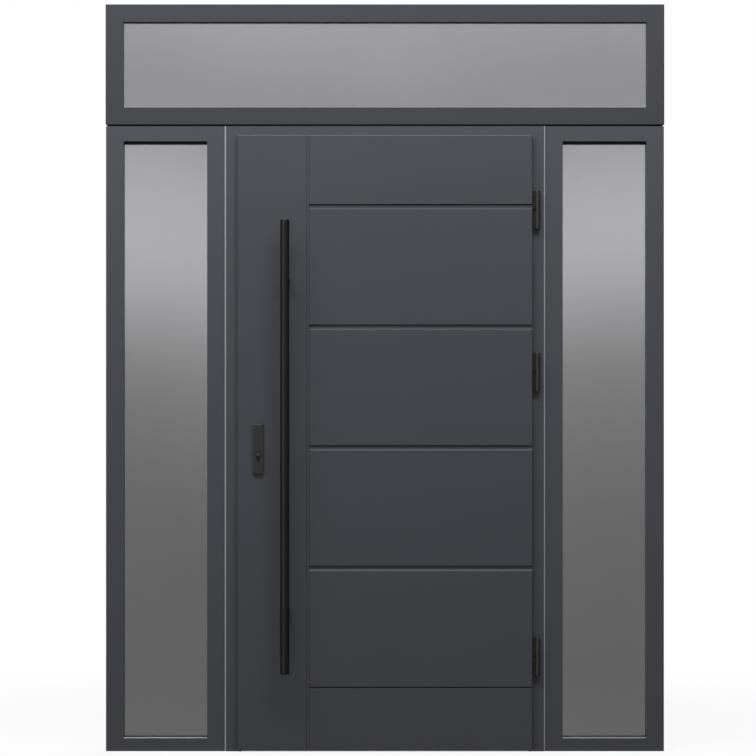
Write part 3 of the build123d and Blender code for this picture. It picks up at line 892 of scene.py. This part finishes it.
@dataclass
class UnitJoints:
    """The strips and the seal between the door frame, its sidelights and the transom."""

    # Each step of a strip's lips: how far it comes forward, and how wide it then is.
    lip_steps: tuple[tuple[float, float], ...] = ((0.6, 4.0), (0.4, 4.6))
    lip_round: float = 0.25
    lip_round_steps: int = 2
    # Edges above this length run along a strip.
    long_edge: float = 1000.0
    # Edges that turn less than this many degrees are shaded smooth.
    smooth_to: float = 10.0

    def build(self) -> None:
        """Draw the two strips, and dress the seal under the transom."""
        self.draw_strip("left_joint_strip", PALE)
        self.draw_strip("right_joint_strip", RIGHT_STRIP_PAINTED_SHADE)
        JOINT_RUBBER.wear("transom_joint_seal")

    def draw_strip(self, node: str, finish: PaleStrip) -> None:
        """Shape one aluminium strip, its front lips spread against the rounded edges beside it.

        Args:
            node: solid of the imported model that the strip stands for.
            finish: finish it takes.
        """
        low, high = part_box(node)
        middle = tuple((near + far) / 2 for near, far in zip(low, high))
        start_piece(
            f"{node}_profile",
            bpy.ops.mesh.primitive_cube_add,
            size=1.0,
            location=middle,
            scale=tuple(far - near for near, far in zip(low, high)),
        )
        width = (high[0] - low[0]) / MM
        pick(Element.FACE, lambda face: face.normal.y < -SQUARE)
        for forward, wide in self.lip_steps:
            bpy.ops.mesh.extrude_region_move(TRANSFORM_OT_translate={"value": (0.0, -forward * MM, 0.0)})
            bpy.ops.transform.resize(value=(wide / width, 1.0, 1.0), center_override=middle)
            width = wide
        front = low[1] - sum(forward for forward, _ in self.lip_steps) * MM
        pick(Element.EDGE, lambda edge: self.runs_along_lip(edge, front))
        bpy.ops.mesh.bevel(offset=self.lip_round * MM, segments=self.lip_round_steps)
        strip = close_piece(self.smooth_to)
        hand_over(strip, "frame", finish)
        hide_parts(node)

    def runs_along_lip(self, edge: bmesh.types.BMEdge, front: float) -> bool:
        """Tell whether an edge is one of the two long ones at the front of a strip."""
        near = all(corner.co.y < front + NEAR for corner in edge.verts)
        return near and edge.calc_length() > self.long_edge * MM


@dataclass
class Leaf:
    """The swinging leaf: a core between a grooved outer panel and an inner panel."""

    boards: tuple[str, ...] = ("leaf_core", "leaf_outer_panel", "leaf_inner_panel")

    def build(self) -> None:
        """Dress the leaf's boards."""
        PAINT.wear(*self.boards)


@dataclass
class HingeSet:
    """Three lift-off barrel hinges on the leaf's right edge, with a socket cap in each end."""

    heights: tuple[str, ...] = ("lower", "middle", "upper")
    axis: tuple[float, float] = (507.0, -51.5)
    cap: Fastener = SOCKET_CAP

    def build(self) -> None:
        """Dress both halves of every hinge, and cap its ends."""
        tops: list[Place] = []
        feet: list[Place] = []
        for height in self.heights:
            fixed = f"{height}_hinge_frame_half"
            swinging = f"{height}_hinge_leaf_half"
            HINGE_BLACK.wear(fixed, swinging)
            feet.append((*self.axis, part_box(fixed)[0][2] / MM))
            tops.append((*self.axis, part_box(swinging)[1][2] / MM))
        self.cap.fit("hinge_top_cap", tops, Facing.UP, "leaf", "black_hardware", HINGE_BLACK)
        self.cap.fit("hinge_foot_cap", feet, Facing.DOWN, "frame", "black_hardware", HINGE_BLACK)


@dataclass
class PullBar:
    """The long round pull bar on two posts, closed by end caps and held by grub screws."""

    middle: tuple[float, float] = (-330.5, -123.0)
    post_heights: tuple[float, ...] = (464.5, 1564.5)
    post_radius: float = 10.0
    grub_setback: float = -99.0
    cap_radius: float = 13.6
    cap_sides: int = 48
    cap_rise: float = 1.2
    cap_round: float = 0.8
    cap_round_steps: int = 3
    cap_ring: float = 2.4
    cap_groove: float = 0.5
    cap_groove_depth: float = 0.4
    grub: Fastener = GRUB_SCREW

    def build(self) -> None:
        """Dress the bar and its posts, and add the caps and the grub screws."""
        BAR_BLACK.wear("pull_bar")
        BLACK.wear("pull_bar_posts")
        low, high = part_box("pull_bar")
        self.turn_cap("pull_bar_top_cap", high[2], 1.0)
        self.turn_cap("pull_bar_foot_cap", low[2], -1.0)
        across, _ = self.middle
        places = [(across, self.grub_setback, height - self.post_radius) for height in self.post_heights]
        self.grub.fit("post_grub_screw", places, Facing.DOWN, "leaf", "black_hardware", BLACK)

    def turn_cap(self, name: str, level: float, way: float) -> None:
        """Turn one end cap: a disc with a round rim and a shallow ring.

        Args:
            name: name of the cap.
            level: height of the bar's end, in metres.
            way: 1 for the upper end, -1 for the lower.
        """
        rise = self.cap_rise * MM
        start_piece(
            name,
            bpy.ops.mesh.primitive_cylinder_add,
            vertices=self.cap_sides,
            radius=self.cap_radius * MM,
            depth=2 * rise,
            location=(self.middle[0] * MM, self.middle[1] * MM, level),
        )
        outer = level + way * rise
        pick(Element.EDGE, lambda edge: all(abs(corner.co.z - outer) < NEAR for corner in edge.verts))
        bpy.ops.mesh.bevel(offset=self.cap_round * MM, segments=self.cap_round_steps)
        pick(Element.FACE, lambda face: face.normal.z * way > SQUARE)
        bpy.ops.mesh.inset(thickness=self.cap_ring * MM)
        for way_in in (-1.0, 1.0):
            bpy.ops.mesh.inset(thickness=self.cap_groove * MM, depth=way_in * self.cap_groove_depth * MM)
        hand_over(close_piece(), "leaf", BAR_BLACK)


@dataclass
class LockSet:
    """Lock plates, profile cylinder and plug, inside lever, and the lock's edge."""

    faceplate_face: float = -469.5
    faceplate_middle: float = -24.0
    faceplate_screw_heights: tuple[float, ...] = (183.0, 560.0, 1240.0, 1862.0)
    inner_face: float = 13.0
    plate_middle: float = -420.7
    plate_screw_heights: tuple[float, ...] = (940.6, 1027.6)
    screw: Fastener = PLATE_SCREW

    def build(self) -> None:
        """Dress the lock's solids, and add the screws of its faceplate and inner plate."""
        BLACK.wear("outer_lock_plate", "inner_lock_plate", "inner_lever")
        CYLINDER.wear("lock_cylinder")
        PLUG.wear("cylinder_plug")
        STEEL.wear("lock_faceplate", "lock_bolts")
        edge = [
            (self.faceplate_face, self.faceplate_middle, height)
            for height in self.faceplate_screw_heights
        ]
        self.screw.fit("faceplate_screw", edge, Facing.LEFT, "leaf", "lock_steel", STEEL)
        inside = [(self.plate_middle, self.inner_face, height) for height in self.plate_screw_heights]
        self.screw.fit("inner_plate_screw", inside, Facing.INSIDE, "leaf", "black_hardware", BLACK)


@dataclass(frozen=True)
class MirroredSky:
    """What gloss and glass show of the surroundings: a bright band of sky over a grey ground."""

    # A span reads a direction between its first two numbers, and gives the last two at either end.
    band: Span = (-0.16, 0.16, 0.0, 1.0)
    arch: Span = (0.0, 0.08, 0.018, 0.0)
    fore_and_aft: Span = (0.2, 0.9, 0.45, 1.0)
    ceiling: Span = (0.5, 0.95, 0.0, 0.4)
    ground: Span = (-0.18, -0.7, 0.0, 1.6)
    side_lamp: Span = (0.14, 0.24, 2.5, 0.0)
    side_lamp_middle: float = -0.61
    side_lamp_half: float = 0.25
    haze: Span = (0.3, 0.7, 0.9, 1.1)
    haze_scale: float = 10.0
    # Each shade of the band: its place from the lowest to the highest direction, and its brightness.
    shades: tuple[tuple[float, float], ...] = (
        (0.10, 0.26),
        (0.19, 0.24),
        (0.42, 0.32),
        (0.53, 0.455),
        (0.60, 0.70),
        (0.67, 0.82),
        (0.76, 0.72),
        (0.82, 0.54),
        (0.95, 0.70),
    )
    bright: float = 0.5
    blue: float = 1.06

    def shade(self, tree: bpy.types.NodeTree) -> bpy.types.Node:
        """Build the background that glossy and transmitted rays see.

        Args:
            tree: node tree of the world.

        Returns:
            The background node.
        """
        way = add_node(tree, "ShaderNodeTexCoord").outputs["Generated"]
        parts = add_node(tree, "ShaderNodeSeparateXYZ", {0: way}).outputs
        return add_node(
            tree,
            "ShaderNodeBackground",
            {"Color": self.colour(tree, parts), "Strength": self.strength(tree, way, parts)},
        )

    def colour(self, tree: bpy.types.NodeTree, parts: bpy.types.NodeOutputs) -> bpy.types.NodeSocket:
        """Arch the band of sky a little over the middle, and grade it from low to high.

        Args:
            tree: node tree of the world.
            parts: the direction's X, Y and Z.

        Returns:
            The colour of the band in that direction.
        """
        across = add_node(tree, "ShaderNodeMath", {0: parts["X"]}, operation="ABSOLUTE").outputs[0]
        lift = add_node(
            tree, "ShaderNodeMapRange", {"Value": across, **dict(zip(RANGE, self.arch))}
        ).outputs[0]
        height = add_node(tree, "ShaderNodeMath", {0: parts["Z"], 1: lift}).outputs[0]
        level = add_node(
            tree, "ShaderNodeMapRange", {"Value": height, **dict(zip(RANGE, self.band))}
        ).outputs[0]
        sky = add_node(tree, "ShaderNodeValToRGB", {0: level})
        ramp = sky.color_ramp
        ramp.interpolation = "CARDINAL"
        ramp.elements.remove(ramp.elements[1])
        for index, (place, shade) in enumerate(self.shades):
            element = ramp.elements[0] if index == 0 else ramp.elements.new(place)
            element.position = place
            element.color = (shade, shade, shade * (self.blue if shade > self.bright else 1.0), 1.0)
        return sky.outputs[0]

    def strength(
        self, tree: bpy.types.NodeTree, way: bpy.types.NodeSocket, parts: bpy.types.NodeOutputs
    ) -> bpy.types.NodeSocket:
        """Add up the light from front and back, ceiling, ground and side lamp, thinned by haze.

        Args:
            tree: node tree of the world.
            way: the direction.
            parts: the direction's X, Y and Z.

        Returns:
            The strength of the light from that direction.
        """
        along = add_node(tree, "ShaderNodeMath", {0: parts["Y"]}, operation="ABSOLUTE").outputs[0]
        upright = add_node(tree, "ShaderNodeMath", {0: parts["Z"]}, operation="ABSOLUTE").outputs[0]
        soft = {"interpolation_type": "SMOOTHSTEP"}
        fore_and_aft, ceiling, ground, lamp = (
            add_node(
                tree, "ShaderNodeMapRange", {"Value": reading, **dict(zip(RANGE, span))}, **settings
            ).outputs[0]
            for reading, span, settings in (
                (along, self.fore_and_aft, soft),
                (parts["Z"], self.ceiling, soft),
                (parts["Z"], self.ground, {}),
                (upright, self.side_lamp, {}),
            )
        )
        beside = add_node(
            tree,
            "ShaderNodeMath",
            {0: parts["X"], 1: self.side_lamp_middle, 2: self.side_lamp_half},
            operation="COMPARE",
        ).outputs[0]
        strip = add_node(tree, "ShaderNodeMath", {0: beside, 1: lamp}, operation="MULTIPLY").outputs[0]
        upper = add_node(tree, "ShaderNodeMath", {0: fore_and_aft, 1: ceiling}).outputs[0]
        lower = add_node(tree, "ShaderNodeMath", {0: ground, 1: strip}).outputs[0]
        whole = add_node(tree, "ShaderNodeMath", {0: upper, 1: lower}).outputs[0]
        drift = add_node(
            tree, "ShaderNodeTexNoise", {"Vector": way, "Scale": self.haze_scale, "Detail": 1.0}
        ).outputs[0]
        haze = add_node(
            tree, "ShaderNodeMapRange", {"Value": drift, **dict(zip(RANGE, self.haze))}
        ).outputs[0]
        return add_node(tree, "ShaderNodeMath", {0: whole, 1: haze}, operation="MULTIPLY").outputs[0]


@dataclass(frozen=True)
class Lamp:
    """One soft rectangular lamp: where it hangs, what it faces, its size and its power in watts."""

    name: str
    place: Place
    aim: Place
    size: tuple[float, float]
    power: float

    def hang(self) -> None:
        """Hang the lamp so that it faces its aim."""
        data = bpy.data.lights.new(self.name, "AREA")
        data.shape = "RECTANGLE"
        data.size, data.size_y = self.size
        data.energy = self.power
        lamp = bpy.data.objects.new(self.name, data)
        lamp.location = self.place
        lamp.rotation_euler = (Vector(self.aim) - Vector(self.place)).to_track_quat("-Z", "Y").to_euler()
        lamp.visible_transmission = False
        bpy.context.scene.collection.objects.link(lamp)


@dataclass
class Studio:
    """Pale floor, soft lamps, the surroundings that gloss shows, and the camera."""

    eye: Place = (-0.0231, -9.04, 1.2420)
    view_width: float = 2.515
    view_distance: float = 9.0
    sensor: float = 36.0
    floor_size: float = 16.0
    floor_drop: float = 0.5
    room_light: float = 0.08
    sky: MirroredSky = MirroredSky()
    lamps: tuple[Lamp, ...] = (
        Lamp("key", (-0.6, -2.2, 5.0), (-0.2, 0.0, 1.2), (6.0, 1.0), 234.0),
        Lamp("back", (0.6, 3.2, 4.4), (0.0, 0.0, 1.1), (3.6, 2.0), 120.0),
    )

    def build(self) -> None:
        """Set the floor, the lamps, the surroundings and the camera."""
        self.lay_floor()
        for lamp in self.lamps:
            lamp.hang()
        self.surround()
        self.place_camera()

    def lay_floor(self) -> None:
        """Lay the pale floor that the object stands on, out of sight of gloss and glass."""
        bpy.ops.object.select_all(action="DESELECT")
        bpy.ops.mesh.primitive_plane_add(size=self.floor_size, location=(0.0, 0.0, -self.floor_drop * MM))
        floor = bpy.context.active_object
        floor.name = "studio_floor"
        floor.visible_glossy = False
        floor.visible_diffuse = False
        floor.visible_transmission = False
        dress(floor, FLOOR)

    def surround(self) -> None:
        """Show white behind the object, the mirrored sky in gloss and glass, and a dim room elsewhere."""
        world = bpy.data.worlds.new("studio")
        bpy.context.scene.world = world
        world.use_nodes = True
        tree = world.node_tree
        tree.nodes.clear()
        ray = add_node(tree, "ShaderNodeLightPath").outputs
        room = add_node(tree, "ShaderNodeBackground", {"Color": WHITE, "Strength": self.room_light})
        backdrop = add_node(tree, "ShaderNodeBackground", {"Color": WHITE, "Strength": 1.0})
        plain = add_node(
            tree,
            "ShaderNodeMixShader",
            {0: ray["Is Camera Ray"], 1: room.outputs[0], 2: backdrop.outputs[0]},
        )
        glossy = add_node(
            tree,
            "ShaderNodeMath",
            {0: ray["Is Glossy Ray"], 1: ray["Is Transmission Ray"]},
            operation="MAXIMUM",
        )
        mirrored = self.sky.shade(tree)
        seen = add_node(
            tree,
            "ShaderNodeMixShader",
            {0: glossy.outputs[0], 1: plain.outputs[0], 2: mirrored.outputs[0]},
        )
        add_node(tree, "ShaderNodeOutputWorld", {"Surface": seen.outputs[0]})

    def place_camera(self) -> None:
        """Stand the camera square to the front, as the photograph was taken."""
        data = bpy.data.cameras.new("front_camera")
        data.sensor_width = self.sensor
        data.lens = self.sensor * self.view_distance / self.view_width
        camera = bpy.data.objects.new("front_camera", data)
        camera.location = self.eye
        camera.rotation_euler = (math.pi / 2, 0.0, 0.0)
        bpy.context.scene.collection.objects.link(camera)
        bpy.context.scene.camera = camera


def main() -> None:
    """Build every sub-assembly in order."""
    logging.basicConfig(level=logging.INFO, format="%(message)s")
    bpy.context.scene.view_settings.view_transform = "Standard"
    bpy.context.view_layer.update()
    DoorFrame().build()
    FixedLight("left_light").build()
    FixedLight("right_light").build()
    FixedLight("transom", TRANSOM_PAINTED_SHADE, has_sill_strip=False).build()
    UnitJoints().build()
    Leaf().build()
    HingeSet().build()
    PullBar().build()
    LockSet().build()
    Studio().build()


if __name__ == "__main__":
    main()
